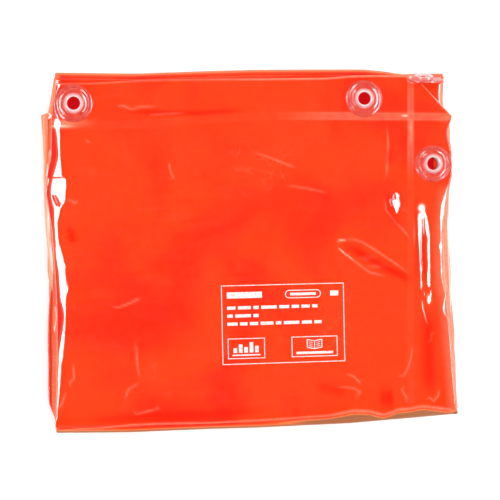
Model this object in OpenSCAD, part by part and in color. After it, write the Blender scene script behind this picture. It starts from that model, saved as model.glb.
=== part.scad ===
// Welding curtain, folded for the shelf: a PVC sheet with welded hems and two-part plastic eyelets,
// folded four layers across and then six times along, so that it lies as a flat packet.

/* [Packet] */
// Width of the folded packet, a quarter of the curtain's width
packet_w = 435; // [420:1:450]
// Length of the folded packet, a sixth of the curtain's length
packet_l = 366; // [354:1:378]
// Thickness of one fold, which is four layers of sheet with air between them
fold_t = 6.4; // [6.4:0.1:7.2]
// Thickness of the bottom fold, which also holds the eyelets that it rests on
base_t = 9.4; // [9.4:0.1:10.4]
// Gap between neighbouring folds
fold_gap = 0.6; // [0.5:0.1:1]

/* [Eyelets] */
// Radius of the hole through an eyelet
hole_r = 7; // [6.5:0.1:7.5]
// Outer radius of the raised ring
ring_r = 11; // [10.5:0.1:11.5]
// Height of the raised ring above the flange
ring_h = 2.5; // [2:0.1:2.5]
// Radius of the clear flange
flange_r = 20; // [18:0.5:20]
// Distance from the side hem's edge to its eyelets' centres
eyelet_inset = 24; // [22:0.5:25]

/* [Sheet] */
// Thickness of the sheet where an eyelet clamps it
sheet_t = 0.4; // [0.3:0.05:0.5]
// Width of the welded hems
hem_w = 41; // [40:1:45]
// Length of each leg of the mitred corner
mitre_leg = 43; // [38:1:46]

/* [Printed panel] */
// Width of the printed panel
print_w = 131; // [110:1:140]
// Height of the printed panel
print_h = 84; // [70:1:90]

/* [Hidden] */
$fn = 64;
slack = 0.01;
half_w = packet_w / 2;
// the standing eyelet reaches this far past the folds, and the whole object is centred on the origin
ear_overhang = 9.4;
far_y = (packet_l - ear_overhang) / 2;
near_y = far_y - packet_l;
// each fold ends this far short of the line that it turns about
end_gap = 0.3;
fold_count = 6;

flange_t = 0.9;
ridge_h = 0.3;
barrel_r = 9;
washer_r = 16;
washer_t = 0.65;
washer_fit = 0.05;
back_gap = 0.1;
// the back layer's eyelets lie this far to one side of the front ones
back_shift = 0.9;
// clearances around the parts that sit in a soft fold
flange_room = 0.4;
barrel_room = 0.2;
washer_room = 0.3;
ring_room = 1.5;
ring_room_h = 2.4;

// where the eyelets are, from the packet's middle: the top fold lies slightly askew on the others
side_x = half_w - eyelet_inset;
right_x = 118;
left_x = -193;
inner_x = 61;
right_y = far_y - 21.3;
left_y = far_y - 27;
inner_y = far_y - 24;
corner_side_y = far_y - 92;
near_crease_y = near_y + 30;
far_crease_y = far_y - 44;
middle_y = far_y - 220;
fifth_side_y = far_y - 72;

// the eyelet that stands on the top crease, above the cut corner
ear_x = side_x - 9;
ear_y = far_y + 1;
ear_z = 41.8;
ear_tilt = -68;
ear_half_w = 20.5;
ear_low = 14;
ear_high = 17;
tongue_t = 3;
tongue_l = 8;
relief_l = 12;
relief_half_w = 22;

red = [0.93, 0.2, 0.07];
red_hem = [0.97, 0.3, 0.14];
clear_plastic = [0.93, 0.9, 0.88];
print_white = [0.97, 0.85, 0.82];
print_t = 0.2;
print_line = 1.2;
print_x = 32;
print_y = far_y - 262;

// underside and thickness of a fold, counted from 1 at the top
function thick(i) = i == fold_count ? base_t : fold_t;
function low(i) = i == fold_count ? 0 : base_t + fold_gap + (fold_count - 1 - i) * (fold_t + fold_gap);
function high(i) = low(i) + thick(i);

// the curtain's front layer is on top of the odd folds and underneath the even ones
function front_up(i) = i % 2 == 1;

// places where the front and the back layer of a fold each have an eyelet
function pairs(i) =
  i == 1 || i == 6 ? [[left_x, left_y], [right_x, right_y], [side_x, corner_side_y]]
  : i == 2 ? [[side_x, near_crease_y]]
  : i == 5 ? [[side_x, near_crease_y], [side_x, fifth_side_y]]
  : [[side_x, middle_y]];

// depth from a face of the front layer's outer surface, and then of the back layer's
function front_depth(i) = flange_t + (i == fold_count ? ring_h + back_gap : 0);
stack = 2 * (sheet_t + washer_t) + back_gap;
function front_z(i) = front_up(i) ? high(i) - front_depth(i) : low(i) + front_depth(i);
function back_z(i) = front_z(i) + (front_up(i) ? -stack : stack);
function back_spot(spot) = [spot[0] - back_shift, spot[1]];

// the two middle layers' eyelets face each other, so they take one tall space
inner_reach = 2 * (flange_t + ring_h) + back_gap;
function inner_high_z(i) = high(i) - 0.2 - sheet_t - washer_t;
function inner_low_z(i) = inner_high_z(i) - inner_reach;

module at(spot, z, facing_up) {
  translate([spot[0], spot[1], z])
    rotate([facing_up ? 0 : 180, 0, 0])
      children();
}

// front half: flange with two ridges, raised ring and a barrel through the sheet, standing on z = 0
module eyelet() {
  below = sheet_t + washer_t;
  above = flange_t + ring_h;
  color(clear_plastic)
    rotate_extrude()
      polygon([
        [hole_r, -below], [barrel_r, -below], [barrel_r, 0], [flange_r, 0],
        [flange_r, flange_t / 2], [flange_r - 0.6, flange_t],
        [flange_r - 2, flange_t], [flange_r - 2.4, flange_t + ridge_h],
        [flange_r - 3, flange_t + ridge_h], [flange_r - 3.4, flange_t],
        [flange_r - 5.2, flange_t], [flange_r - 5.6, flange_t + ridge_h],
        [flange_r - 6.2, flange_t + ridge_h], [flange_r - 6.6, flange_t],
        [ring_r + 0.5, flange_t], [ring_r, flange_t + 0.6],
        [ring_r - 0.3, above - 0.6], [ring_r - 1, above],
        [hole_r + 0.9, above], [hole_r, above - 0.7]
      ]);
}

// back half: a flat washer on the barrel, under the sheet
module washer() {
  color(clear_plastic)
    translate([0, 0, -sheet_t - washer_t])
      difference() {
        cylinder(r = washer_r, h = washer_t);
        translate([0, 0, -slack])
          cylinder(r = barrel_r + washer_fit, h = washer_t + 2 * slack);
      }
}

// one eyelet's space in a soft fold: it leaves the sheet between the flange and the washer
module eyelet_space(open_h) {
  cylinder(r = flange_r + flange_room, h = open_h);
  translate([0, 0, -sheet_t - slack])
    cylinder(r = barrel_r + barrel_room, h = sheet_t + 2 * slack);
  translate([0, 0, -sheet_t - washer_t - back_gap])
    cylinder(r = washer_r + washer_room, h = washer_t + back_gap);
}

// dent that a neighbour's raised ring needs, cut inwards from a face
module ring_dent(spot, z, facing_up) {
  translate([spot[0], spot[1], facing_up ? z - ring_room_h : z - slack])
    cylinder(r = ring_r + ring_room, h = ring_room_h + slack);
}

module fold_block(i) {
  translate([-half_w, near_y + end_gap, low(i)])
    cube([packet_w, packet_l - 2 * end_gap, thick(i)]);
}

module all_spaces(i) {
  reach = thick(i);
  for (spot = pairs(i)) {
    at(spot, front_z(i), front_up(i))
      eyelet_space(reach);
    at(back_spot(spot), back_z(i), !front_up(i))
      eyelet_space(reach);
  }
}

// room at the top crease for the standing eyelet as the folds above swing over
module ear_relief(i) {
  translate([ear_x - relief_half_w, far_y - relief_l, low(i) - slack])
    cube([2 * relief_half_w, relief_l, thick(i) + 2 * slack]);
}

module inner_space(i, open_h) {
  at([inner_x, inner_y], inner_high_z(i), false)
    eyelet_space(inner_reach);
  at([inner_x, inner_y], inner_low_z(i), true)
    eyelet_space(inner_reach);
  translate([inner_x, inner_y, inner_high_z(i) + sheet_t])
    cylinder(r = washer_r + washer_room, h = open_h);
  translate([inner_x, inner_y, inner_low_z(i) - sheet_t - open_h])
    cylinder(r = washer_r + washer_room, h = open_h);
}

// the mitre, stepped back further where the standing eyelet leans over it
module corner_cut(z, depth) {
  step = 14;
  translate([0, 0, z - slack])
    linear_extrude(height = depth + 2 * slack)
      polygon([
        [half_w + 1, far_y - mitre_leg - 1], [half_w + 1, far_y + 1],
        [half_w - mitre_leg - step, far_y + 1], [half_w - mitre_leg - step, far_y - 1],
        [half_w - mitre_leg, far_y - 10]
      ]);
}

// the top fold: its far right corner is mitred, and clear of the standing eyelet behind it
module fold_1() {
  boss_r = flange_r + 1.5;
  boss_low = inner_low_z(1) - sheet_t - washer_t - back_gap;
  color(red)
    difference() {
      union() {
        fold_block(1);
        translate([inner_x, inner_y, boss_low])
          cylinder(r = boss_r, h = low(1) - boss_low + slack);
      }
      all_spaces(1);
      inner_space(1, fold_t / 2);
      corner_cut(low(1), fold_t);
    }
}

module fold_2() {
  lip_z = inner_low_z(1) - sheet_t - washer_t - back_gap - 0.5;
  color(red)
    difference() {
      fold_block(2);
      all_spaces(2);
      at([side_x, far_crease_y], front_z(2), false)
        eyelet_space(fold_t);
      translate([inner_x, inner_y, lip_z])
        cylinder(r = flange_r + 2.5, h = fold_t);
      ring_dent([side_x, middle_y], low(2), false);
    }
}

module fold_3() {
  color(red)
    difference() {
      fold_block(3);
      all_spaces(3);
      ring_dent([side_x, near_crease_y], high(3), true);
      ring_dent([side_x, far_crease_y], high(3), true);
      ear_relief(3);
    }
}

module fold_4() {
  color(red)
    difference() {
      fold_block(4);
      all_spaces(4);
      for (spot = pairs(5)) ring_dent(spot, low(4), false);
      ear_relief(4);
    }
}

module fold_5() {
  color(red)
    difference() {
      fold_block(5);
      all_spaces(5);
      ring_dent([side_x, middle_y], high(5), true);
      ear_relief(5);
    }
}

module fold_6() {
  color(red)
    difference() {
      fold_block(6);
      all_spaces(6);
      inner_space(6, base_t / 2);
      ear_relief(6);
    }
}

// hems: the sheet turned over on itself and welded, so they stand one sheet above the fold
module hem_strip(size, place) {
  color(red_hem)
    difference() {
      translate([place[0], place[1], high(1)])
        cube([size[0], size[1], sheet_t]);
      for (spot = pairs(1))
        translate([spot[0], spot[1], high(1) - slack])
          cylinder(r = flange_r + flange_room, h = sheet_t + 2 * slack);
      corner_cut(high(1), sheet_t);
    }
}

module top_hem() {
  hem_strip([packet_w - hem_w, hem_w], [-half_w, far_y - end_gap - hem_w]);
}

module side_hem() {
  hem_strip([hem_w, packet_l - 2 * end_gap], [half_w - hem_w, near_y + end_gap]);
}

module bar(x, y, w, h) {
  translate([x, y, 0])
    cube([w, h, print_t]);
}

module outline_box(x, y, w, h) {
  difference() {
    bar(x, y, w, h);
    translate([x + print_line, y + print_line, -slack])
      cube([w - 2 * print_line, h - 2 * print_line, print_t + 2 * slack]);
  }
}

// a frame, plain bars where a panel carries its lines, and two picture boxes
module printed_panel() {
  box_w = 0.34 * print_w;
  box_h = 0.3 * print_h;
  left = -print_w / 2;
  base = -print_h / 2;
  color(print_white)
    translate([print_x, print_y, high(1)])
      rotate([0, 0, 1.5]) {
        outline_box(left, base, print_w, print_h);
        for (row = [0:2])
          bar(left + 8, base + 0.44 * print_h + row * 8, print_w * (0.75 - 0.12 * row), 2.4);
        bar(left + 8, base + 0.8 * print_h, 0.36 * print_w, 5);
        outline_box(left + 0.5 * print_w, base + 0.77 * print_h, 0.34 * print_w, 9);
        outline_box(left + 8, base + 5, box_w, box_h);
        outline_box(-left - 8 - box_w, base + 5, box_w, box_h);
      }
}

module standing() {
  translate([ear_x, ear_y, ear_z])
    rotate([ear_tilt, 0, 0])
      children();
}

// the layer under the cut corner: a tongue off the end of its fold, then a flap that stands up
module corner_flap() {
  color(red)
    difference() {
      union() {
        standing()
          translate([-ear_half_w, -ear_low, -sheet_t])
            cube([2 * ear_half_w, ear_low + ear_high, sheet_t]);
        translate([ear_x - ear_half_w + 2, far_y - end_gap, low(2)])
          cube([2 * ear_half_w - 4, tongue_l, tongue_t]);
      }
      standing()
        eyelet_space(fold_t);
    }
}

module top_left_eyelet() { at(pairs(1)[0], front_z(1), true) eyelet(); }
module top_right_eyelet() { at(pairs(1)[1], front_z(1), true) eyelet(); }
module side_eyelet() { at(pairs(1)[2], front_z(1), true) eyelet(); }
module crease_eyelet() { standing() eyelet(); }
module top_left_washer() { at(pairs(1)[0], front_z(1), true) washer(); }
module top_right_washer() { at(pairs(1)[1], front_z(1), true) washer(); }
module side_washer() { at(pairs(1)[2], front_z(1), true) washer(); }
module crease_washer() { standing() washer(); }

module front_row(i) {
  for (spot = pairs(i)) at(spot, front_z(i), front_up(i)) children();
}

module back_row(i) {
  for (spot = pairs(i)) at(back_spot(spot), back_z(i), !front_up(i)) children();
}

module inner_row(i) {
  at([inner_x, inner_y], inner_high_z(i), false) children();
  at([inner_x, inner_y], inner_low_z(i), true) children();
}

module both_rows(i) {
  front_row(i) children();
  back_row(i) children();
}

module fold_1_back_eyelets() { back_row(1) eyelet(); }
module fold_1_back_washers() { back_row(1) washer(); }
module fold_1_inner_eyelets() { inner_row(1) eyelet(); }
module fold_1_inner_washers() { inner_row(1) washer(); }

module fold_2_eyelets() {
  both_rows(2) eyelet();
  at([side_x, far_crease_y], front_z(2), false) eyelet();
}

module fold_2_washers() {
  both_rows(2) washer();
  at([side_x, far_crease_y], front_z(2), false) washer();
}

module fold_3_eyelets() { both_rows(3) eyelet(); }
module fold_3_washers() { both_rows(3) washer(); }
module fold_4_eyelets() { both_rows(4) eyelet(); }
module fold_4_washers() { both_rows(4) washer(); }
module fold_5_eyelets() { both_rows(5) eyelet(); }
module fold_5_washers() { both_rows(5) washer(); }
module fold_6_eyelets() { both_rows(6) eyelet(); }
module fold_6_washers() { both_rows(6) washer(); }
module fold_6_inner_eyelets() { inner_row(6) eyelet(); }
module fold_6_inner_washers() { inner_row(6) washer(); }

fold_1();
fold_2();
fold_3();
fold_4();
fold_5();
fold_6();
top_hem();
side_hem();
printed_panel();
corner_flap();
top_left_eyelet();
top_right_eyelet();
side_eyelet();
crease_eyelet();
top_left_washer();
top_right_washer();
side_washer();
crease_washer();
fold_1_back_eyelets();
fold_1_back_washers();
fold_1_inner_eyelets();
fold_1_inner_washers();
fold_2_eyelets();
fold_2_washers();
fold_3_eyelets();
fold_3_washers();
fold_4_eyelets();
fold_4_washers();
fold_5_eyelets();
fold_5_washers();
fold_6_eyelets();
fold_6_washers();
fold_6_inner_eyelets();
fold_6_inner_washers();
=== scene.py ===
"""A folded welding curtain: glossy orange-red PVC in 24 layers, with welded hems and clear plastic eyelets.

Each fold is one sheet that runs four layers across. Between two folds each layer goes round a crease
of its own, and that crease bends as the folds open. Work is in millimetres and meshes are in metres.
"""

import math

import bmesh
import bpy
import numpy as np
from mathutils import Matrix, Vector


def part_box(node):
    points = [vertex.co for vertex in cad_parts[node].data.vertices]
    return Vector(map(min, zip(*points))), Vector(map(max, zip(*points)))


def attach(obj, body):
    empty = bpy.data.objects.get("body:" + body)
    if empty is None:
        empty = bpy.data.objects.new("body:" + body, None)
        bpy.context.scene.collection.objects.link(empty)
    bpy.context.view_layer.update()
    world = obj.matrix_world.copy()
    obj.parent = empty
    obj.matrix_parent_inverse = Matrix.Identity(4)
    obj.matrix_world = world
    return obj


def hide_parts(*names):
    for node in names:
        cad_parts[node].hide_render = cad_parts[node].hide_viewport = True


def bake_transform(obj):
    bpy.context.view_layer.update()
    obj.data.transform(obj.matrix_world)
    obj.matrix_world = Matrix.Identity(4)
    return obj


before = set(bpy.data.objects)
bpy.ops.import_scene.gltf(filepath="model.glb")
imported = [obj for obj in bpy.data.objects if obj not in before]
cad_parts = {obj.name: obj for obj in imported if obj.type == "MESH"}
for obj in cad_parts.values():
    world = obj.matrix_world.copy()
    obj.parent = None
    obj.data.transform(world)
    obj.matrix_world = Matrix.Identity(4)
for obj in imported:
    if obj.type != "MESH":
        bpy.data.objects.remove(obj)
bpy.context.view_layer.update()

MM = 0.001
FOLDS = 6
SHEET_T = 0.4
END_GAP = 0.3  # from the ends of a fold's slab to the packet's ends


def box_mm(node):
    low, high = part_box(node)
    return np.array(low) / MM, np.array(high) / MM


LOW = {i: box_mm(f"fold_{i}")[0][2] for i in range(2, FOLDS + 1)}
HIGH = {i: box_mm(f"fold_{i}")[1][2] for i in range(1, FOLDS + 1)}
LOW[1] = HIGH[2] + (LOW[2] - HIGH[3])
HALF_W = box_mm("fold_2")[1][0]
FAR_Y = box_mm("fold_2")[1][1] + END_GAP
NEAR_Y = box_mm("fold_2")[0][1] - END_GAP
HINGE_Z = {i: (LOW[i] + HIGH[i + 1]) / 2 for i in range(1, FOLDS)}
RADII = [6.55, 4.25, 2.75, 0.45]  # of layers 1 to 4 about a crease that layer 1 goes round outside
TOP_Z = HIGH[1]
EDGE_X = HALF_W - 0.3  # how far out the bends between a fold's layers reach
NEAR_SPOT_Y, MIDDLE_SPOT_Y, FAR_SPOT_Y = NEAR_Y + 30, FAR_Y - 220, FAR_Y - 72  # of the eyelets along the side


def smooth(a, b, v):
    t = np.clip((v - a) / (b - a), 0.0, 1.0)
    return t * t * (3 - 2 * t)


def along(v, table, soft=4.0):
    """Values of a table of (place, value) rows, with the corners rounded over about `soft` mm."""
    knots, values = zip(*table)
    return sum(np.interp(v + d, knots, values) for d in (-soft, -soft / 2, 0, soft / 2, soft)) / 5


def wave(v, length, phase):
    return np.sin(2 * math.pi * v / length + phase)


def bell(v, width):
    return np.exp(-((v / width) ** 2))


# -------- where each layer lies


def front_up(i):
    return i % 2 == 1


def levels(i):
    """Heights of layers 1 to 4 of a fold where it meets its crease."""
    if i == 1:
        return [HINGE_Z[1] + r for r in RADII]
    if i == FOLDS:
        return [HINGE_Z[FOLDS - 1] - r for r in RADII]
    mid = (LOW[i] + HIGH[i]) / 2
    reach = HINGE_Z[i - 1] - mid
    sign = 1 if front_up(i) else -1
    return [mid + sign * (r - reach) for r in RADII]


def eyelet_spots(i):
    """(x, y) of each pair of eyelets on a fold's front and back layers."""
    if i in (1, FOLDS):
        names = ("top_left_eyelet", "top_right_eyelet", "side_eyelet")
        return [tuple((a + b) / 2 for a, b in zip(*box_mm(n)))[:2] for n in names]
    side_x = eyelet_spots(1)[2][0]
    if i == 2:
        return [(side_x, NEAR_SPOT_Y)]
    if i == 5:
        return [(side_x, NEAR_SPOT_Y), (side_x, FAR_SPOT_Y)]
    return [(side_x, MIDDLE_SPOT_Y)]


BACK_SHIFT = 0.9  # in x, of the back layers' eyelets
INNER_SPOT = (61.0, FAR_Y - 24)
FAR_CREASE_SPOT = (eyelet_spots(1)[2][0], FAR_Y - 44)
FLANGE_T, RING_H, BACK_GAP, WASHER_T = 0.9, 2.5, 0.1, 0.65
STACK = 2 * (SHEET_T + WASHER_T) + BACK_GAP  # from an eyelet's flange to the washer behind it
FLAT_R = 20.5  # a layer is flat this far round an eyelet
DENT, DENT_R = 2.3, (12, 19)  # how far a neighbour's ring presses in, and over what radii that ends
CLEAR_T, PART_T = 0.06, 0.02  # between a layer and an eyelet's face, and from a layer to halfway


def clear_of_eyelets(x, y, r_in, r_out):
    """0 within r_in of the top sheet's eyelets, and 1 past r_out."""
    return np.prod([smooth(r_in, r_out, np.hypot(x - px, y - py)) for px, py in eyelet_spots(1)], axis=0)


def front_z(i):
    depth = FLANGE_T + (RING_H + BACK_GAP if i == FOLDS else 0)
    return HIGH[i] - depth if front_up(i) else LOW[i] + depth


def inner_pair(i):
    """Heights of the upper and the lower eyelet between a fold's middle layers."""
    high = HIGH[i] - 0.2 - SHEET_T - WASHER_T
    return high, high - (2 * (FLANGE_T + RING_H) + BACK_GAP)


def pinches(i):
    """(x, y, heights of layers 1 to 4, inner radius, outer radius) where eyelets hold or press on a fold."""
    found = []
    down = -1 if front_up(i) else 1
    for x, y in eyelet_spots(i):
        z = front_z(i)
        mid = z + down * STACK / 2
        z = z + down * CLEAR_T
        heights = [z, mid - down * PART_T, mid + down * PART_T, z + down * (STACK - 2 * CLEAR_T)]
        found.append((x, y, heights, FLAT_R, 40))
    if i == 2:
        x, y = FAR_CREASE_SPOT
        z = front_z(2)
        found.append((x, y, [z, z + 1.3, z + 2.6, z + 4.4], FLAT_R, 29))
    if i in (1, FOLDS):
        high, low = inner_pair(i)
        heights = [high + 1.5, high, low, low - 1.5] if i == 1 else [low - 1.35, low, high, high + 1.2]
        found.append((*INNER_SPOT, heights, FLAT_R, 30))
    if i == 2:
        found.append((*INNER_SPOT, [31.15, 32.1, 33.0, 34.3], 22.5, 32))
    return found


def dents(i):
    """(x, y, depth from the top, depth from the bottom) where a neighbour's ring presses in."""
    side_x = FAR_CREASE_SPOT[0]
    return {
        2: [(side_x, MIDDLE_SPOT_Y, 0, DENT)],
        3: [(side_x, NEAR_SPOT_Y, DENT, 0), (*FAR_CREASE_SPOT, DENT, 0)],
        4: [(side_x, NEAR_SPOT_Y, 0, DENT), (side_x, FAR_SPOT_Y, 0, DENT)],
        5: [(side_x, MIDDLE_SPOT_Y, DENT, 0)],
    }.get(i, [])


LOOSE = [0.45, 3.4, 5.8, 9.0]  # heights of the lowest fold's layers away from its crease


def pressed(i, x, y, z):
    """Heights of a fold's points once it is held by its eyelets."""
    rest = levels(i)
    order = np.argsort(rest)
    keys = np.array(rest)[order]
    out = z.copy()
    if i == FOLDS:
        spread = smooth(NEAR_Y + 6, NEAR_Y + 70, y)
        out = out + spread * (np.interp(z, keys, np.array(LOOSE)[order]) - z)
    for px, py, heights, r_in, r_out in pinches(i):
        r = np.hypot(x - px, y - py)
        held = 1 - smooth(r_in, r_out, r)
        out = out + held * (np.interp(z, keys, np.array(heights)[order]) - out)
    for px, py, top, bottom in dents(i):
        held = 1 - smooth(*DENT_R, np.hypot(x - px, y - py))
        share = (z - keys[0]) / (keys[-1] - keys[0])
        out = out - held * top * share + held * bottom * (1 - share)
    return out


# -------- how the packet lies

# rows of y and x: the top sheet's left fold, and the folds under it
LEFT_TOP = [
    (-190, -217), (-150, -215), (-106, -214.3), (-60, -214.3), (-28, -215.5), (0, -217), (18, -218.2),
    (32, -220.3), (48, -222.7), (56, -224.1), (65, -224.2), (76, -223.5), (82, -222.3), (88, -220.3),
    (96, -218.6), (128, -217.6), (140, -217), (149, -215.8), (160, -213.8), (176, -211.5), (184, -211),
]
LEFT_LOW = [
    (-190, -215.5), (-182, -216.8), (-176, -219.5), (-164, -223.3), (-106, -223.8), (-44, -221.8),
    (0, -222.5), (30, -223.6), (70, -226.3), (115, -226.4), (140, -226.8), (142, -219.5), (150, -217.4),
    (160, -216), (184, -213.2),
]
# the top sheet's right edge, the inner layers' fold under it, and the folds below
RIGHT_TOP = [
    (-190, 219.4), (-125, 214.5), (-78, 211), (-60, 208.5), (-46, 204.5), (-28, 205), (10, 204.5),
    (42, 208), (57, 210), (72, 214), (85, 215.5), (104, 213), (116, 209.6), (124, 210.5), (132, 215.5),
    (184, 215),
]
RIGHT_MID = [(-190, 216), (20, 205), (55, 197), (80, 194.5), (95, 194.5), (120, 205), (184, 206)]
RIGHT_LOW = [
    (-190, 222), (-176, 221), (-106, 219), (-60, 216), (0, 213.5), (20, 212.5), (50, 213.5), (72, 216.5),
    (86, 214), (98, 216), (112, 216), (128, 216), (140, 209), (155, 207), (184, 208),
]
# rows of x and how far an end is moved in y
NEAR_SHIFT = [
    (-217, -3.4), (-140, -4.9), (-50, -3.7), (0, -3.6), (55, -2.5), (100, -1.6), (160, 2), (217, 5.5),
]
FAR_SHIFT = [
    (-217, 1), (-130, 0.3), (-50, 3.3), (0, 4.9), (55, 5.5), (120, 5.9), (150, 3.3), (165, 0.8), (217, 2),
]
TOP_FAR_SHIFT = [
    (-217, -5.5), (-170, -4.6), (-145, -3), (-120, -1.4), (-70, -0.6), (0, 0.3), (80, 1.4), (100, 3.5),
    (125, 4.5), (217, 4),
]
# rows of y and two x: the packet's sides fall away gently from the first to the second, then steeply
LEFT_FALL = [
    (-190, -214.8, -217), (-137, -209, -213.6), (-106, -205.4, -211.8), (-78, -203.5, -206.7),
    (-69, -203, -206.5), (-56, -203, -210), (-44, -199.7, -211), (-28, -203, -211.5), (-12, -204, -214),
    (9, -210.3, -214.6), (24, -210.7, -215.5), (39, -207.8, -215.8), (44, -206, -216.7),
    (48, -202.6, -218), (55, -202.2, -219.3), (65, -201, -218.6), (72, -200.4, -217.2),
    (74, -205.8, -216.6), (80, -205.9, -214.8), (88, -206.6, -212.4), (98, -207.3, -210.3),
    (113, -207.1, -211.5), (123, -207.3, -212.5), (128, -206.1, -215), (134, -206.1, -213.5),
    (184, -206, -210),
]
RIGHT_FALL = [
    (-190, 217, 217), (-80, 209, 209), (-76, 203.5, 205.5), (-70, 202.5, 207.4), (-64, 204.5, 205.5),
    (-58, 207, 207), (-37, 202, 202.4), (-30, 200.2, 204.6), (-24, 201.5, 202), (-15, 201.5, 202.5),
    (-3, 198.8, 204.8), (4, 202, 202), (9, 201.3, 203), (26, 201, 205.4), (42, 202.2, 207.6),
    (60, 208.5, 213), (74, 215, 217), (96, 216, 217), (104, 212, 217), (114, 209.6, 215),
    (124, 210, 215.4), (134, 215, 216), (184, 214, 215),
]
GENTLE, STEEP = 0.31, 1.0
CALM_Z = LOW[2] - 0.3  # below this height the folds' sides aren't rounded over
MOST_SQUEEZE = 0.64  # share of the height over CALM_Z
END_ROUND = 14  # length of the rounding at the near end


def ramped(v, soft=0.5):
    """v where it is positive, else nothing, with the corner rounded over about `soft` mm."""
    return (v + np.sqrt(v * v + soft * soft)) / 2


def fall_lines(y, table):
    """x of the two lines where a side starts to fall and where it turns steep."""
    knots, starts, turns = zip(*table)
    return along(y, zip(knots, starts), soft=1.5), along(y, zip(knots, turns), soft=1.5)


def side_fall(x, y, table, sign):
    """How far the packet's side has dropped at a place: gently at first, then steeply."""
    start, turn = (sign * line for line in fall_lines(y, table))
    out = sign * x
    gentle = ramped(out - start) - ramped(out - turn)
    return GENTLE * gentle + STEEP * ramped(out - turn)


def settle(i, x, y, z):
    """Moves points of a fold from its flat, square place to where the soft packet lies."""
    below = smooth(TOP_Z - 2.5, TOP_Z - 8.5, z)
    inner = smooth(TOP_Z - 0.4, TOP_Z - 2.0, z) * (1 - smooth(TOP_Z - 4.4, TOP_Z - 6.0, z))
    phase = i * 2.1
    ragged = below * (0.8 * wave(y, 210, phase) + 0.5 * wave(y, 83, 2 * phase))
    left = along(y, LEFT_TOP) * (1 - below) + along(y, LEFT_LOW, soft=0.8) * below + ragged
    # the upper folds reach out furthest towards the far end, and the lower ones towards the near end
    if i in (2, 3):
        left = left + below * 5.0 * (1 - smooth(-55, -25, y))
    else:
        left = left + below * 2.5 * smooth(-45, -15, y)
    left = left - 0.04 * below * (TOP_Z - z)
    right = along(y, RIGHT_TOP) * (1 - below) + along(y, RIGHT_LOW) * below - ragged
    right = right * (1 - inner) + along(y, RIGHT_MID) * inner + below * math.cos(2.3 * i)
    to_left = 1 - smooth(-HALF_W, -HALF_W + 150, x)
    to_right = smooth(HALF_W - 110, HALF_W, x)
    new_x = x + to_left * (left + HALF_W) + to_right * (right - HALF_W)
    to_near = 1 - smooth(NEAR_Y, NEAR_Y + 140, y)
    to_far = smooth(FAR_Y - 110, FAR_Y, y)
    far_shift = along(x, TOP_FAR_SHIFT if i == 1 else FAR_SHIFT)
    new_y = y + to_near * along(x, NEAR_SHIFT) + to_far * far_shift
    new_z = pressed(i, new_x, new_y, z)
    # the packet's long sides fall away, but not beside an eyelet
    roomy = clear_of_eyelets(new_x, new_y, 20, 25)
    fall = side_fall(new_x, new_y, LEFT_FALL, -1) + side_fall(new_x, new_y, RIGHT_FALL, 1)
    squeeze = roomy * np.clip(fall / (TOP_Z - CALM_Z), 0, MOST_SQUEEZE)
    squeeze = np.maximum(squeeze, 0.16 * round_over((y - NEAR_Y) / END_ROUND) * roomy)
    new_z = np.where(new_z > CALM_Z, CALM_Z + (new_z - CALM_Z) * (1 - squeeze), new_z)
    if i < FOLDS:
        new_z = new_z + 0.15 * wave(new_x, 190, phase) * wave(new_y, 150, 1.3 * phase) * roomy
    return new_x, new_y, new_z


def round_over(share):
    """From 0 at share 1 to 1 at share 0, along a quarter circle."""
    inner = np.clip(1 - share, 0, 0.995)
    return 1 - np.sqrt(1 - inner * inner)


# -------- relief of the top sheet

SEAM_Y = [(-217, 126.5), (-150, 128.2), (-60, 134.1), (0, 138.1), (100, 138.2), (217, 137.2)]
SEAM_X = [(-190, 166.3), (178, 169.5)]
# from a weld's middle to its edge, to its ridges and to the hem's edge, and how wide a ridge is
WELD_HALF, WELD_RIDGE, HEM_EDGE, RIDGE_WIDTH = 4.0, 3.2, 4.4, 0.9


def nearest(x, y, path):
    """Each point's distance from a path, its x from there, the leg of the path, and the share of that leg."""
    best = np.full(x.shape, 1e9)
    side, share, leg = np.zeros(x.shape), np.zeros(x.shape), np.zeros(x.shape, int)
    for n, (a, b) in enumerate(zip(path[:-1], path[1:])):
        d = b - a
        t = np.clip(((x - a[0]) * d[0] + (y - a[1]) * d[1]) / (d @ d), 0, 1)
        gx, gy = x - a[0] - t * d[0], y - a[1] - t * d[1]
        far = np.hypot(gx, gy)
        near = far < best
        best, side = np.where(near, far, best), np.where(near, gx, side)
        share, leg = np.where(near, t, share), np.where(near, n, leg)
    return best, side, leg, share


def ridge(x, y, path, width, height, fade=0.25):
    """A soft crease of that height along a path, fading out towards its ends."""
    path = np.array(path, float)
    best, _, leg, share = nearest(x, y, path)
    steps = np.hypot(*(path[1:] - path[:-1]).T)
    ends = np.cumsum(steps)
    where = (ends[leg] - (1 - share) * steps[leg]) / ends[-1]
    strength = smooth(0, fade, where) * (1 - smooth(1 - fade, 1, where))
    return height * strength * bell(best, width)


# x and height over the top sheet
RIGHT_LIGHT, EYE = (1000, 755), (-129, 1155)
GLINT_SPREAD = 1.35  # a patch's relief is this much wider than the patch shines


def shining_slope(x):
    """The slope towards +x at which the sheet mirrors the right strip light to the eye above the packet."""
    to_light, to_eye = (math.atan((place - x) / height) for place, height in (RIGHT_LIGHT, EYE))
    return math.tan((to_light + to_eye) / 2)


def glint(x, y, path, widths, lip=2.2):
    """Relief that leans towards +x at one slope over a strip along the path, so it shines as one patch."""
    path, widths = np.array(path, float), GLINT_SPREAD * np.array(widths, float)
    slope = shining_slope(path[:, 0].mean())
    best, side, leg, share = nearest(x, y, path)
    half = (widths[leg] * (1 - share) + widths[leg + 1] * share) / 2
    past = np.maximum(best - half, 0)
    inside = -slope * np.clip(side, -half, half)
    return inside * (1 - smooth(0, lip, past))


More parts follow.
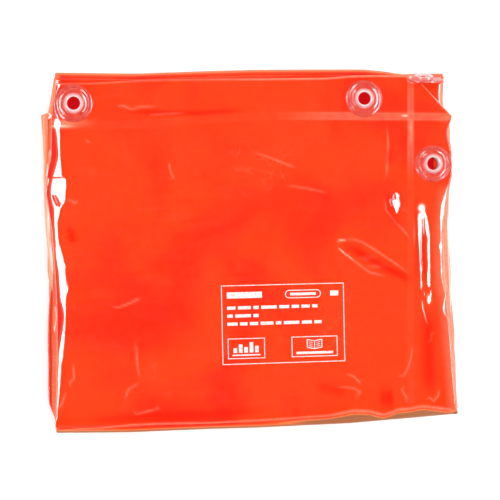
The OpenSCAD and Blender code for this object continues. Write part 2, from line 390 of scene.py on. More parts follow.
def weld_lines(x, y):
    """(share of a weld band at a point, its edge ridges) for both hems' seams."""
    across = y - along(x, SEAM_Y)
    down = x - along(y, SEAM_X)
    down = np.where(y > 178, 99, down)
    # the seams fade to the left and towards the near end
    level = 0.08 + 0.92 * smooth(10, 100, x)
    upright = 0.12 + 0.88 * smooth(62, 110, y)
    band = level * np.exp(-((across / WELD_HALF) ** 4)) + upright * np.exp(-((down / (WELD_HALF - 0.8)) ** 4))
    edges = sum(
        level * bell(across - s, RIDGE_WIDTH) + upright * bell(down - s * 0.85, RIDGE_WIDTH)
        for s in (-WELD_RIDGE, WELD_RIDGE)
    )
    return np.clip(band, 0, 1), np.clip(edges, 0, 1.3)


WRINKLES = [
    # the hollow at the right of the middle, with a lip along each side
    ([(86, -1), (100, -4), (118, -14), (140, -26), (160, -36), (178, -46)], 6.0, -1.5),
    ([(88, 1), (96, 4.5), (104, 5.2), (113, 2.5), (132, -9), (158, -27), (172, -38)], 1.6, 0.5),
    ([(88, -4), (100, -14), (110, -22), (122, -31), (142, -36)], 1.6, 0.55),
    ([(150, -33), (166, -38), (180, -46)], 3.0, 0.5),
    # the side hem
    ([(182.5, 16), (182.5, -5), (183, -40)], 3.0, -0.9),
    ([(138.5, 54), (141, 36), (152, 22), (164, 10), (169, 0)], 1.8, 0.5),
    ([(143, 130), (144, 106), (143, 88), (142, 74), (138, 66)], 2.0, 0.5),
    # fine ones across the middle and along the hem
    ([(-4, 100), (16, 93), (46, 81)], 2.0, 0.45),
    ([(31, 64), (56, 60), (78, 55)], 1.8, 0.4),
    ([(-151.4, 149.6), (-140, 148.5), (-131.4, 144.5), (-126.3, 147.1), (-104.5, 148.5)], 1.6, 0.45),
    ([(-115.5, 139.3), (-95, 140.6), (-74.6, 141.7)], 1.5, 0.8),
    ([(-181, 113.5), (-176.5, 109)], 1.0, 0.5),
    ([(-94, 90), (-92, 80), (-88, 69)], 2.4, 0.5),
    ([(-200, 51), (-193, 46), (-189, 50)], 1.6, 0.5),
    ([(-158, -63), (-149, -65), (-133, -59), (-122, -53)], 2.2, 0.5),
    ([(-131, -98), (-129.5, -123), (-127.5, -142)], 2.4, 0.7),
    ([(-126, -144), (-139, -152), (-144, -164)], 2.4, 0.6),
    ([(-135, -173), (-131, -179), (-119, -176), (-107, -173), (-111, -168)], 1.8, 0.6),
    ([(-197, -122), (-196, -139), (-201, -144), (-198, -150)], 1.6, 0.5),
    ([(-204, -152), (-209, -165), (-213, -172)], 1.6, 0.5),
    ([(-210, 20), (-203, 6), (-196, -2), (-189, 6), (-187, 20)], 2.6, 0.6),
    ([(-199, 22), (-197, 10), (-195, 2)], 4.0, -0.9),
    ([(169, -108), (167.6, -124), (164, -135), (159, -144), (150, -145)], 1.6, 0.45),
    ([(160, -154), (157, -160), (162, -168), (162, -176)], 1.6, 0.5),
    ([(195, -97), (190, -99), (189.5, -106), (184, -110)], 1.8, 0.6),
    ([(182, -170), (188, -169), (192, -172.5), (197, -167), (199, -158)], 1.6, 0.4),
    ([(94, -141), (103, -143), (113, -153)], 1.8, 0.4),
    ([(84, -155), (103, -156), (111, -161), (103, -168)], 1.8, 0.4),
    # broad swells
    ([(-170, 60), (-150, 10), (-158, -50)], 7.0, 0.5),
    ([(-120, 96), (-100, 40), (-108, -30)], 9.0, 0.5),
    ([(-60, 50), (0, 20), (60, -6), (110, -60)], 16.0, 0.8),
    ([(60, 110), (110, 70), (150, 20)], 14.0, 0.7),
    ([(-40, -20), (20, -50), (90, -150)], 18.0, -0.8),
    ([(120, -110), (146, -150), (144, -176)], 10.0, -1.2),
    ([(-140, -150), (-60, -168), (40, -160)], 10.0, 0.5),
]

# small hollows across the streak along the left side
NICKS = [
    ([(-215.9, 56), (-213, 50), (-209.5, 42)], 1.4, -0.9),
    ([(-215, -19.5), (-209, -20), (-203, -21)], 1.1, -0.6),
    ([(-209, 30), (-205, 20)], 1.2, -0.4),
]

# painted shade: where the sheet is painted a deeper red, in its hollows and creases and along its edges, with
# a few broad darker patches: (path, width, share)
SHADES = [
    ([(88, -1), (103, -5), (118, -14), (140, -26), (160, -36), (176, -45)], 5.0, 0.42),
    ([(130, -168), (150, -168)], 10.0, 0.4),
    ([(-199, 24), (-197, 10), (-195, 2)], 4.0, 0.4),
    ([(-196, -184), (-150, -182), (-60, -180), (20, -178)], 5.0, 0.3),
    ([(186, -66), (187, -130), (188, -172)], 8.0, 0.4),
    ([(182.8, 20), (182.8, -5), (183.4, -44)], 2.0, 0.4),
    ([(-150, 143), (-110, 142), (-60, 141), (0, 146)], 3.0, 0.35),
    ([(60, -150), (100, -164)], 8.0, 0.25),
    ([(140, 60), (147, 30), (160, 12)], 4.0, 0.3),
    ([(146, 104), (145, 84)], 4.0, 0.3),
    ([(70, 80), (30, 40), (60, -10)], 22.0, 0.16),
    ([(-130, -100), (-60, -60)], 24.0, 0.14),
    ([(176, 60), (174, 20), (175, -50)], 3.0, 0.25),
]

# painted highlights, white where share passes 1: (x, y, reach in x, reach in y, share)
HIGHLIGHT_SPOTS = [
    # where the two seams run out, and where they cross
    (169.5, 178.5, 3.0, 5.0, 1.9),
    (-208, 127.4, 14, 1.6, 1.7),
    (-203, 131, 22, 4, 0.7),
    (169.5, 122, 2.4, 16, 0.9),
    (209, 136, 8, 3, 0.7),
    (163, 138.4, 4.5, 1.3, 1.8),
    # the top and the foot of the arch, and the seam beside it
    (180.2, 38, 2.9, 3.2, 6),
    (181.4, 31, 2.1, 4.5, 5),
    (188, -61, 1.7, 3.4, 4),
    (171.8, 10, 1.0, 11, 0.6),
    # in the hollow at the right of the middle
    (131.5, -24.5, 9, 2.2, 0.35),
    (120, -15.5, 7, 2.2, 0.4),
]

# thin painted highlights along lines
HIGHLIGHT_LINES = [
    [(179.9, -61), (181, -72), (184, -83), (186, -90)],
    [(87, 1), (90, 4.2), (98, 5)],
    [(86.5, -3), (93, -8.5), (99, -13.5), (106, -19)],
]

# patches that mirror a strip light: (path, width at each point)
GLINTS = [
    # the long arch on the side hem
    ([(180, 37), (178.4, 30), (178.3, 10), (178.6, -8), (179.2, -26), (179.5, -46)], [1, 4.6, 4, 2.6, 2, 2]),
    ([(182.5, 36), (185.6, 24), (187.4, 8), (187.5, -26), (187.8, -46)], [3, 4, 4, 4, 3.4]),
    ([(190, -53), (189.4, -58), (187.4, -64)], [2, 3, 3.4]),
    ([(179, -51), (183.5, -56)], [2.4, 2.4]),
    ([(181.5, -28), (182.3, -35), (181.9, -41)], [0.6, 1.8, 0.6]),
    ([(179.6, -60), (180.6, -70), (184, -83), (187.4, -92)], [1.2, 1.3, 1.3, 0.8]),
    # the patch beside the seam
    ([(146.6, 54), (147.6, 50)], [2.4, 3.4]),
    ([(152.6, 50.5), (152.2, 46), (153, 40), (153, 34)], [7, 8.5, 7.5, 3]),
    # left of the right eyelet
    ([(93, 158), (96, 156.4)], [3.6, 3.4]),
    ([(98.4, 152.4), (102, 147.6), (106.4, 143.6)], [1.6, 1.8, 1.2]),
    ([(175.2, 97), (175.2, 77)], [1.2, 1.2]),
    ([(141, 168), (141.6, 163), (140.6, 158)], [1, 1.2, 1]),
]


def top_relief(x, y):
    """Height of the top sheet over its smooth shape: hems, welds and wrinkles."""
    past_seams = (y - along(x, SEAM_Y), x - along(y, SEAM_X))
    hem = np.maximum(*(smooth(-0.6, 0.6, past + HEM_EDGE) for past in past_seams))
    band, edges = weld_lines(x, y)
    height = 0.2 * hem - 0.2 * band + 0.16 * edges
    for path, width, tall in WRINKLES:
        height = height + ridge(x, y, path, width, tall * (0.6 if width < 5 else 0.8))
    calm = clear_of_eyelets(x, y, 19.5, 24)
    shine = sum(glint(x, y, path, widths) for path, widths in GLINTS)
    cushion = 0.5 * wave(x + 0.4 * y, 150, 0.5) * wave(y - 0.2 * x, 180, 1.0)
    steady = smooth(-214, -196, x) * (1 - smooth(196, 206, x))
    nicks = sum(ridge(x, y, path, width, tall) for path, width, tall in NICKS)
    return (height * (0.3 + 0.7 * steady) + cushion * steady + nicks) * calm + shine * smooth(0, 0.3, calm)


# -------- meshes


def graded(lo, hi, coarse, finer=()):
    """Steps from lo to hi, `coarse` long, and shorter inside each (from, to, step) of finer."""
    marks = [lo]
    while marks[-1] < hi - 1e-6:
        v = marks[-1]
        step = min([coarse] + [s for a, b, s in finer if a - coarse / 2 <= v < b])
        marks.append(min(v + step, hi))
    if len(marks) > 2 and marks[-1] - marks[-2] < 0.3 * coarse:
        marks.pop(-2)
    return np.array(marks)


def placed(name, data):
    obj = bpy.data.objects.new(name, data)
    bpy.context.collection.objects.link(obj)
    return obj


def mesh_of(name, points, faces):
    mesh = bpy.data.meshes.new(name)
    mesh.from_pydata([tuple(p) for p in points * MM], [], faces)
    mesh.update()
    return placed(name, mesh)


def grid_faces(rows, cols, flip):
    faces = []
    for a in range(rows - 1):
        for b in range(cols - 1):
            q = (a * cols + b, a * cols + b + 1, (a + 1) * cols + b + 1, (a + 1) * cols + b)
            faces.append(q[::-1] if flip else q)
    return faces


BEND_STEPS = 6


def cross_profile(i, spans):
    """The line of a fold's four layers: (x, z) from the front hem's edge to the back hem's."""
    z = levels(i)
    line = []
    for k in range(4):
        run = spans[k][::-1] if k % 2 == 0 else spans[k]
        line += [(x, z[k]) for x in run]
        if k == 3:
            break
        side = -1 if k % 2 == 0 else 1
        mid, r = (z[k] + z[k + 1]) / 2, (z[k] - z[k + 1]) / 2
        for s in range(1, BEND_STEPS):
            a = math.pi * s / BEND_STEPS
            line.append((side * (EDGE_X - abs(r) + abs(r) * math.sin(a)), mid + r * math.cos(a)))
    return np.array(line)


TOP_STEP, STEP, ROW_STEP = 1.9, 9.0, 7.0  # on the fine top layer, along the others, and along y
TOP_X_STEPS = [(-218, -196, 0.9), (143, 156, 1.3), (164, 213, 0.95), (213, 218, 0.8)]
TOP_Y_STEPS = [
    (NEAR_Y, NEAR_Y + 16, 1.2), (41, 56, 1.2), (71, 76, 0.8), (130, 143, 1.1), (168, FAR_Y + 1, 1.4),
]
ROW_STEPS = [(NEAR_Y, NEAR_Y + 14, 3.0), (138.5, 143.5, 0.8), (FAR_Y - 50, FAR_Y + 1, 3.5)]


def layer_spans(fine):
    """x of the points along each of a fold's four layers, which are close together on a fine top layer."""
    left_r, right_r = (RADII[0] - RADII[1]) / 2, (RADII[1] - RADII[2]) / 2
    spans = []
    for k in range(4):
        lo, hi = left_r - EDGE_X, EDGE_X - (right_r if k in (1, 2) else 0)
        if k == 0:
            spans.append(graded(lo, hi, TOP_STEP, TOP_X_STEPS) if fine else graded(lo, hi, STEP))
        else:
            spans.append(graded(lo, hi, STEP, [(lo, lo + 22, 4.0), (hi - 24, hi + 1, 4.0)]))
    return spans


def points_of(obj):
    got = np.empty(len(obj.data.vertices) * 3)
    obj.data.vertices.foreach_get("co", got)
    return got.reshape(-1, 3) / MM


def put_points(obj, points):
    obj.data.vertices.foreach_set("co", (points * MM).astype(np.float32).ravel())
    obj.data.update()


def write_attribute(obj, name, values):
    layer = obj.data.attributes.new(name, "FLOAT", "POINT")
    layer.data.foreach_set("value", np.asarray(values, np.float32))


HOLE_R = 9.1
MITRE = 43  # how far from the free corner the cut starts along either edge


def cut_holes(obj, spots):
    """Opens a round hole through the layer at each (x, y, z)."""
    bm = bmesh.new()
    bm.from_mesh(obj.data)
    for x, y, z in spots:
        doomed = []
        for f in bm.faces:
            c = f.calc_center_median() / MM
            if abs(c.z - z) < 0.5 and math.hypot(c.x - x, c.y - y) < HOLE_R:
                doomed.append(f)
        rim = {v for f in doomed for v in f.verts if any(g not in doomed for g in v.link_faces)}
        if doomed:
            bmesh.ops.delete(bm, geom=doomed, context="FACES")
        for v in rim:
            if v.is_valid:
                dx, dy = v.co.x / MM - x, v.co.y / MM - y
                d = math.hypot(dx, dy)
                v.co.x, v.co.y = (x + dx / d * HOLE_R) * MM, (y + dy / d * HOLE_R) * MM
    bm.to_mesh(obj.data)
    bm.free()


def mitre(obj):
    """Cuts the free corner off at 45 degrees."""
    bm = bmesh.new()
    bm.from_mesh(obj.data)
    bmesh.ops.bisect_plane(
        bm,
        geom=bm.verts[:] + bm.edges[:] + bm.faces[:],
        plane_co=((HALF_W - MITRE) * MM, FAR_Y * MM, 0),
        plane_no=(1, 1, 0),
        clear_outer=True,
    )
    bm.to_mesh(obj.data)
    bm.free()


def thicken(obj, thickness, outwards):
    solid = obj.modifiers.new("thickness", "SOLIDIFY")
    solid.thickness, solid.offset = thickness * MM, outwards


def finish_sheet(obj, material):
    for p in obj.data.polygons:
        p.use_smooth = True
    thicken(obj, SHEET_T, outwards=-1)
    obj.data.materials.append(material)


def top_weight(z):
    """1 on the top sheet's upper surface, 0 on the layers below it."""
    return smooth(TOP_Z - 1.9, TOP_Z - 0.4, z)


def build_fold(i, material):
    fine = i == 1
    line = cross_profile(i, layer_spans(fine))
    steps = (TOP_STEP, TOP_Y_STEPS) if fine else (ROW_STEP, ROW_STEPS)
    ys = graded(NEAR_Y + END_GAP, FAR_Y - END_GAP, *steps)
    x, z = (np.repeat(column, len(ys)) for column in line.T)
    y = np.tile(ys, len(line))
    obj = mesh_of(f"sheet_{i}", np.stack([x, y, z], 1), grid_faces(len(line), len(ys), not front_up(i)))
    if fine:
        mitre(obj)
    flat = points_of(obj)
    x, y, z = settle(i, *flat.T)
    if fine:
        z = z + top_weight(flat[:, 2]) * top_relief(x, y)
    put_points(obj, np.stack([x, y, z], 1))
    paint(obj, i, flat)
    holes = []
    z_back = front_z(i) + (-STACK if front_up(i) else STACK)
    for px, py in eyelet_spots(i):
        holes += [(px, py, front_z(i)), (px - BACK_SHIFT, py, z_back)]
    if i in (1, FOLDS):
        holes += [(*INNER_SPOT, z) for z in inner_pair(i)]
    if i == 2:
        holes.append((*FAR_CREASE_SPOT, front_z(2)))
    cut_holes(obj, holes)
    finish_sheet(obj, material)
    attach(obj, f"fold_{i}")
    if i == 1:
        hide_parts("fold_1", "top_hem", "side_hem")
    else:
        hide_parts(f"fold_{i}")
    return obj


# rows of x and y along the painted highlight of the near edge
NEAR_HIGHLIGHT_LINE = [
    (-213, -195), (-192, -193), (-166, -192.3), (-135, -190), (-104, -189.4), (-52, -190), (20, -188),
    (78, -185.4), (104, -181), (122, -182.4), (137, -187), (152, -181.4), (166, -180.4), (179, -178),
    (195, -180), (216, -184),
]


def near_highlight(x, y):
    """The painted highlight along the packet's near edge, which widens to the right."""
    width = np.interp(x, [-200, 60, 110, 200], [0.9, 0.9, 1.8, 1.6])
    return bell(y - along(x, NEAR_HIGHLIGHT_LINE, soft=2), width)


def near_edge_shade(x, y):
    """Painted shade, brown, on the near edge: outside its painted highlight, on the right half."""
    gap = along(x, NEAR_HIGHLIGHT_LINE, soft=2) - y
    return 1.85 * smooth(2.4, 4.4, gap) * smooth(0, 60, x)


def near_fold(flat):
    """1 at the long folds between a fold's layers, and 0 away from them."""
    return 1 - smooth(1.5, 7.0, HALF_W - np.abs(flat[:, 0]))


def paint_top(x, y, flat):
    """The paler tone, painted highlights and painted shade of the top fold at its points, which lie at x, y
    and came from flat.
    """
    # the welds' paler tone with painted highlights along their ridged edges; painted highlights along the far
    # hem's edge, the mitred edge, the near edge and the fine wrinkles, and in lines and spots
    band, edges = weld_lines(x, y)
    hem_highlight = (0.3 + 0.45 * smooth(-90, 60, x)) * smooth(FAR_Y - 3.0, FAR_Y - 1.2, flat[:, 1])
    mitre_gap = (HALF_W - MITRE + FAR_Y - flat[:, 0] - flat[:, 1]) / math.sqrt(2)
    tints_and_highlights = [np.clip(0.28 * band + 0.22 * edges, 0, 1), hem_highlight, 0.8 * (1 - smooth(0.4, 1.4, mitre_gap))]
    tints_and_highlights.append(0.6 * near_highlight(x, y))
    tints_and_highlights += [ridge(x, y, path, 1.0, 0.42) for path, width, _ in WRINKLES if width < 2.6]
    tints_and_highlights += [ridge(x, y, path, 0.7, 1.5) for path in HIGHLIGHT_LINES]
    for px, py, rx, ry, share in HIGHLIGHT_SPOTS:
        tints_and_highlights.append(share * np.exp(-(((x - px) / rx) ** 2) - ((y - py) / ry) ** 2))
    # the right side has fewer layers under it, so it is lighter
    edge = along(y, RIGHT_TOP) - x
    tints_and_highlights.append((0.32 * smooth(15, 3, edge) + 0.6 * smooth(2.6, 0.6, edge)) * (1 - smooth(52, 66, y)))
    top = top_weight(flat[:, 2])
    pale = top * np.maximum.reduce(tints_and_highlights)
    deep_tone_and_shade = top * np.maximum.reduce([ridge(x, y, *shade) for shade in SHADES])
    # painted shade under the eyelets' holes
    for px, py in eyelet_spots(1):
        deep_tone_and_shade = np.maximum(deep_tone_and_shade, (1 - top) * smooth(17, 10, np.hypot(x - px, y - py)))
    # outside the streak the left side gets painted shade, up to a painted highlight along its fold
    outside = fall_lines(y, LEFT_FALL)[1] - x
    past_edge = x - along(y, LEFT_TOP)
    deep_tone_and_shade = np.maximum(deep_tone_and_shade, top * 0.5 * smooth(0.6, 1.8, outside) * smooth(0.8, 2.0, past_edge))
    fold_highlight = 1.3 * smooth(1.5, 0.7, past_edge) * smooth(TOP_Z - 3.2, TOP_Z - 2.0, flat[:, 2])
    return np.maximum(pale, fold_highlight), deep_tone_and_shade


def paint(obj, i, flat):
    """Writes a fold's paler tone and painted highlights (white past 1), its painted shade and darker patches,
    and a painted glow along its edges (painted shade, brown, past 1).
    """
    x, y, z = points_of(obj).T
    pale, deep_tone_and_shade = paint_top(x, y, flat) if i == 1 else np.zeros((2, len(x)))
    edges = near_fold(flat)
    # painted highlights, white, on the lower layers' folds at the right
    pale = np.maximum(pale, (x > 0) * (z < TOP_Z - 4) * 1.35 * edges)
    # a painted glow along the folds' edges, and on the top fold painted shade, brown, at the near edge
    if i == 1:
        top = top_weight(flat[:, 2])
        edge_glow_and_shade = np.maximum(0.5 * edges * (1 - top), top * near_edge_shade(x, y))
    else:
        edge_glow_and_shade = edges * np.where(flat[:, 0] > 0, 0.5, smooth(-60, -25, y) if i > 3 else 1.0)
    for name, values in (("pale", pale), ("deep_tone_and_shade", deep_tone_and_shade), ("edge_glow_and_shade", edge_glow_and_shade)):
        write_attribute(obj, name, values)


def build_crease(i, k, material):
    """Layer k's bend between fold i and the fold below it."""
    near = i % 2 == 1
    top = i == 1 and k == 0
    # layer 1 is outermost at the near creases, and layer 4 at the far ones
    radius = abs(levels(i)[k] - HINGE_Z[i])
    line_y, out = (NEAR_Y + END_GAP, -1) if near else (FAR_Y - END_GAP, 1)
    steps = max(6, int(radius * 2.2))
    arc = [math.pi * s / steps for s in range(steps + 1)]
    xs = np.clip(layer_spans(top)[k], -EDGE_X, EDGE_X)
    a, x = np.repeat(arc, len(xs)), np.tile(xs, len(arc))
    y = line_y + out * radius * np.sin(a)
    z = HINGE_Z[i] + radius * np.cos(a)
    # layers 1 and 3 face the other way from layers 2 and 4
    faces = grid_faces(len(arc), len(xs), k % 2 == 0)
    obj = mesh_of(f"crease_{i}_layer_{k + 1}", np.stack([x, y, z], 1), faces)
    flat = points_of(obj)
    share = smooth(0, math.pi, a)
    x, y, z = (u * (1 - share) + v * share for u, v in zip(settle(i, *flat.T), settle(i + 1, *flat.T)))
    if i == 1:
        z = z + top_weight(flat[:, 2]) * top_relief(x, y)
    put_points(obj, np.stack([x, y, z], 1))
    # painted sheen across the bend's outside, and a painted glow along the folds' edges
    pale = 0.3 * np.sin(a) ** 2
    edge_glow_and_shade = near_fold(flat) * (0.4 if i == 1 else 0.9)
    # painted shade: brown on the bends, seen from above as they turn under
    edge_glow_and_shade = np.maximum(edge_glow_and_shade, 1.75 * smooth(0.3, 0.75, a) if near else 1.5 * smooth(0.5, 0.9, a))
    # the top bend also gets the near edge's painted highlight and its painted shade, brown
    if top:
        pale = 0.1 * np.sin(a) ** 2 + 0.6 * near_highlight(x, y) * (a < math.pi / 2)
        edge_glow_and_shade = np.maximum(edge_glow_and_shade, near_edge_shade(x, y))
    write_attribute(obj, "pale", pale)
    write_attribute(obj, "edge_glow_and_shade", edge_glow_and_shade)
    finish_sheet(obj, material)
    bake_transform(obj)
    return obj


# -------- materials


class Graph:
    """Adds shader nodes to a material or a world. A value may be a number, a colour or a node's output."""

    def __init__(self, owner, coords="Object"):
        owner.use_nodes = True
        self.nodes, self.links = owner.node_tree.nodes, owner.node_tree.links
        self.coords = self.nodes.new("ShaderNodeTexCoord").outputs[coords]

    def put(self, value, socket):
        if isinstance(value, bpy.types.NodeSocket):
            self.links.new(value, socket)
        else:
            socket.default_value = (*value, 1) if socket.type == "RGBA" else value

    def surface(self, **values):
        """Sets the inputs of the material's surface: Base_Color stands for "Base Color"."""
        for name, value in values.items():
            self.put(value, self.nodes["Principled BSDF"].inputs[name.replace("_", " ")])

    def noise(self, scale, detail=3.0, distortion=0.0, coords=None):
        node = self.nodes.new("ShaderNodeTexNoise")
        for name, value in (("Scale", scale), ("Detail", detail), ("Distortion", distortion)):
            node.inputs[name].default_value = value
        self.links.new(coords or self.coords, node.inputs["Vector"])
        return node.outputs["Fac"]

    def stretched(self, scale, turn):
        node = self.nodes.new("ShaderNodeMapping")
        node.inputs["Scale"].default_value = scale
        node.inputs["Rotation"].default_value = (0, 0, turn)
        self.links.new(self.coords, node.inputs["Vector"])
        return node.outputs["Vector"]

    def ramp(self, value, *stops):
        """A colour ramp through (place, colour) stops, where one number stands for a grey."""
        node = self.nodes.new("ShaderNodeValToRGB")
        elements = node.color_ramp.elements
        while len(elements) < len(stops):
            elements.new(0.5)
        for element, (place, color) in zip(elements, stops):
            element.position = place
            element.color = (*color, 1) if isinstance(color, tuple) else (color, color, color, 1)
        self.links.new(value, node.inputs["Fac"])
        return node.outputs["Color"]

    def mix(self, share, a, b):
        node = self.nodes.new("ShaderNodeMix")
        node.data_type = "RGBA"
        for socket, value in ((0, share), (6, a), (7, b)):
            self.put(value, node.inputs[socket])
        return node.outputs[2]

    def math(self, operation, a, b):
        node = self.nodes.new("ShaderNodeMath")
        node.operation = operation
        self.put(a, node.inputs[0])
        self.put(b, node.inputs[1])
        return node.outputs[0]

    def plus(self, a, b):
        return self.math("ADD", a, b)

    def minus(self, a, b):
        return self.math("SUBTRACT", a, b)

    def times(self, a, b):
        return self.math("MULTIPLY", a, b)

    def past(self, value, start):
        """How far a value is past start, and 0 before it."""
        return self.math("MAXIMUM", self.minus(value, start), 0.0)

    def attribute(self, name):
        node = self.nodes.new("ShaderNodeAttribute")
        node.attribute_name = name
        return node.outputs["Fac"]

    def bump(self, height, strength):
        """The surface's normal over heights in mm."""
        node = self.nodes.new("ShaderNodeBump")
        node.inputs["Strength"].default_value = strength
        node.inputs["Distance"].default_value = MM
        self.links.new(height, node.inputs["Height"])
        return node.outputs["Normal"]


def pvc(name, deep_tone_and_shade, bright, pale):
    """Glossy tinted PVC: cloudy depth of colour, hair creases and a soft ripple, with paler welds, painted
    highlights, a painted glow, a light orange, along the folds' edges, and painted shade.
    """
    material = bpy.data.materials.new(name)
    g = Graph(material)
    grain = g.noise(130.0, 5.0)
    color = g.ramp(g.noise(9.0, 4.0, 0.6), (0.36, deep_tone_and_shade), (0.56, bright))
    color = g.mix(0.08, color, g.ramp(grain, (0.3, deep_tone_and_shade), (0.7, (1.0, 0.1, 0.01))))
    # hair creases: thin lines where a slow noise passes its middle, kept to a few short stretches, with a
    # painted highlight along them
    off_line = g.math("ABSOLUTE", g.minus(g.noise(26.0, 1.0, 0.8), 0.5), 0.0)
    line = g.ramp(off_line, (0.002, 1), (0.008, 0))
    where = g.ramp(g.noise(13.0, 2.0), (0.6, 0), (0.66, 1))
    hair = g.times(g.times(line, where), 0.14)
    color = g.mix(hair, color, pale)
    # painted paler tone and highlights, white past 1
    paler_tone_and_highlight = g.attribute("pale")
    color = g.mix(g.times(g.math("MINIMUM", paler_tone_and_highlight, 1.0), g.plus(0.45, grain)), color, pale)
    color = g.mix(g.past(paler_tone_and_highlight, 1.0), color, (1.0, 0.86, 0.84))
    # painted glow along the folds' edges, and painted shade, brown, past 1
    edge = g.attribute("edge_glow_and_shade")
    edge_glow_and_shade = g.times(g.math("MINIMUM", edge, 1.0), 0.8)
    color = g.mix(edge_glow_and_shade, color, (0.92, 0.22, 0.035))
    color = g.mix(g.past(edge, 1.0), color, (0.3, 0.085, 0.013))
    # painted shade and darker patches, in a deeper red, where the gloss is lowered too
    depth = g.attribute("deep_tone_and_shade")
    shade_color = g.ramp(depth, (0.5, (0.84, 0.004, 0.001)), (1.0, (0.5, 0.003, 0.006)))
    share = g.ramp(depth, (0.0, 0), (0.45, 0.8), (1.0, 1))
    scratches = g.noise(1.0, 2.0, coords=g.stretched((30, 900, 30), 0.5))
    scuffs = g.noise(1.0, 2.0, coords=g.stretched((700, 40, 40), -0.3))
    worn = g.times(scratches, scuffs)
    ripple = g.plus(g.times(g.noise(38.0, 2.0, 0.3), 2.2), g.times(worn, 0.35))
    g.surface(
        Base_Color=g.mix(share, color, shade_color),
        Specular_IOR_Level=g.times(g.minus(1.0, share), 0.5),
        Roughness=g.plus(g.ramp(worn, (0.2, 0.06), (0.42, 0.16)), g.times(edge_glow_and_shade, 0.4)),
        IOR=1.53,
        Normal=g.bump(g.plus(ripple, g.times(hair, 0.5)), 0.22),
    )
    return material


# metres from an eyelet's axis: the thick ring's end, the flange's start, and where its two rings meet
RING_END, FLANGE_START, RINGS_MEET = 0.0109, 0.0114, (0.0155, 0.0159)
RING_WIDTH = 2.15  # mm from a ring's valley to its crest
GENTLE_RING, STEEP_RING = 0.32, 0.6  # their slopes, each of which mirrors one strip light to the camera


def clear_plastic(name, centre=None):
    """Clear moulded plastic. About a centre the ring is milky, and the thin, ridged flange shows the red."""
    material = bpy.data.materials.new(name)
    g = Graph(material)
    cloud, marks = g.noise(160.0), g.noise(700.0)
    tint = g.ramp(cloud, (0.3, (0.9, 0.6, 0.62)), (0.7, (1.0, 0.9, 0.92)))
    alpha, height = 0.55, g.times(marks, 0.05)
    if centre is not None:
        apart = g.nodes.new("ShaderNodeVectorMath")
        apart.operation = "DISTANCE"
        apart.inputs[1].default_value = tuple(centre)
        g.links.new(g.coords, apart.inputs[0])
        away = apart.outputs["Value"]
        red = g.ramp(cloud, (0.3, (0.85, 0.04, 0.02)), (0.7, (0.97, 0.12, 0.07)))
        tint = g.mix(g.ramp(away, (RING_END, 0), (FLANGE_START, 1)), tint, red)
        alpha = g.ramp(away, (RING_END, 0.9), (FLANGE_START, 0.72))
        out = g.math("MAXIMUM", g.times(g.minus(away, FLANGE_START), 1 / MM), 0.0)
        slope = g.ramp(away, (RINGS_MEET[0], GENTLE_RING), (RINGS_MEET[1], STEEP_RING))
        height = g.plus(g.times(g.math("PINGPONG", out, RING_WIDTH), slope), height)
    g.surface(
        Base_Color=tint,
        Alpha=alpha,
        Roughness=g.ramp(marks, (0.35, 0.04), (0.75, 0.12)),
        IOR=1.55,
        Coat_Weight=1.0,
        Coat_Roughness=0.03,
        Normal=g.bump(height, 1.0),
    )
    return material


def ink(name):
    """Screen-printed white ink, a little thin in places."""
    material = bpy.data.materials.new(name)
    g = Graph(material)
    thin = g.noise(420.0, 4.0)
    g.surface(
        Base_Color=g.ramp(thin, (0.3, (0.95, 0.5, 0.42)), (0.5, (0.96, 0.84, 0.8))),
        Roughness=g.ramp(thin, (0.3, 0.3), (0.7, 0.5)),
    )
    return material


SHEET = pvc("orange_pvc", (0.86, 0.016, 0.0004), (0.96, 0.042, 0.0015), (1.0, 0.3, 0.17))
CLEAR = clear_plastic("clear_eyelet_plastic")
INK = ink("white_ink")

# -------- the packet

sheets = {i: build_fold(i, SHEET) for i in range(1, FOLDS + 1)}
creases = {i: [build_crease(i, k, SHEET) for k in range(4)] for i in range(1, FOLDS)}

for node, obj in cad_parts.items():
    if "eyelet" in node or "washer" in node:
        # the four front halves in view are ringed about their own axes
        in_view = node.endswith("_eyelet")
        plastic = clear_plastic(f"{node}_plastic", np.mean(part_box(node), axis=0)) if in_view else CLEAR
        obj.data.materials.clear()
        obj.data.materials.append(plastic)

# -------- the corner flap

EAR_X = FAR_CREASE_SPOT[0] - 9
EAR_Y, EAR_Z, EAR_TILT = FAR_Y + 1, 41.8, math.radians(-68)
EAR_HOLE_R = 8.6


